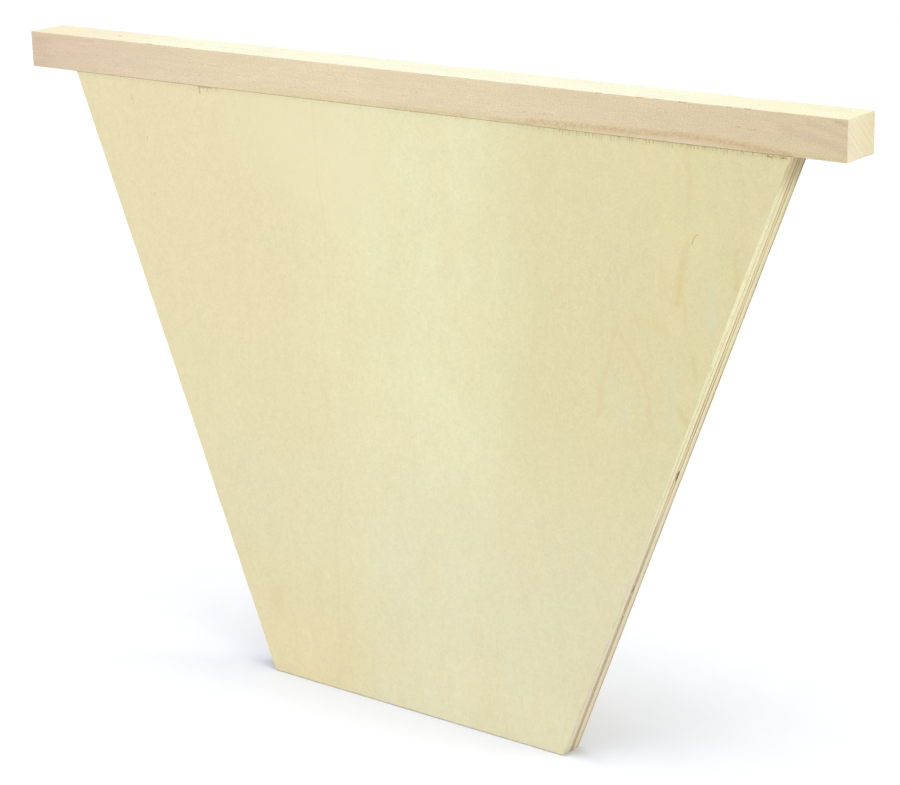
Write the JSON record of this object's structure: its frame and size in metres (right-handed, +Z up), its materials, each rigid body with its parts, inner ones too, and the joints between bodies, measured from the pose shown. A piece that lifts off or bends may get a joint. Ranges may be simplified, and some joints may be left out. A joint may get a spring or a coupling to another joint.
{
  "type": "top bar hive follower board",
  "caption": "Trapezoidal plywood follower board under a solid-wood top bar, which hangs in a sloping-sided top bar hive and closes off its unused end.",
  "frame": {"origin": "under the middle of the bar, halfway through its depth, on the surface that the board's bottom edge stands on", "axes": "+X along the bar, +Y from the flush face towards the back, where the bar overhangs the board, +Z up"},
  "size_m": [0.432, 0.0212, 0.2932],
  "materials": {
    "bar_wood": "planed, untreated, pale pinkish tan",
    "face_veneer": "sanded, untreated poplar veneer, pale cream yellow",
    "crossband_veneer": "sawn end grain on the edges",
    "core_veneer": "sawn edge, browner heartwood",
    "brad_steel": "bright wire, slightly dulled"
  },
  "bodies": {
    "root": {"top_bar": "bar_wood", "front_face_ply": "face_veneer", "front_crossband": "crossband_veneer", "core_ply": "core_veneer", "back_crossband": "crossband_veneer", "back_face_ply": "face_veneer", "brads": "brad_steel"}
  },
  "joints": []
}
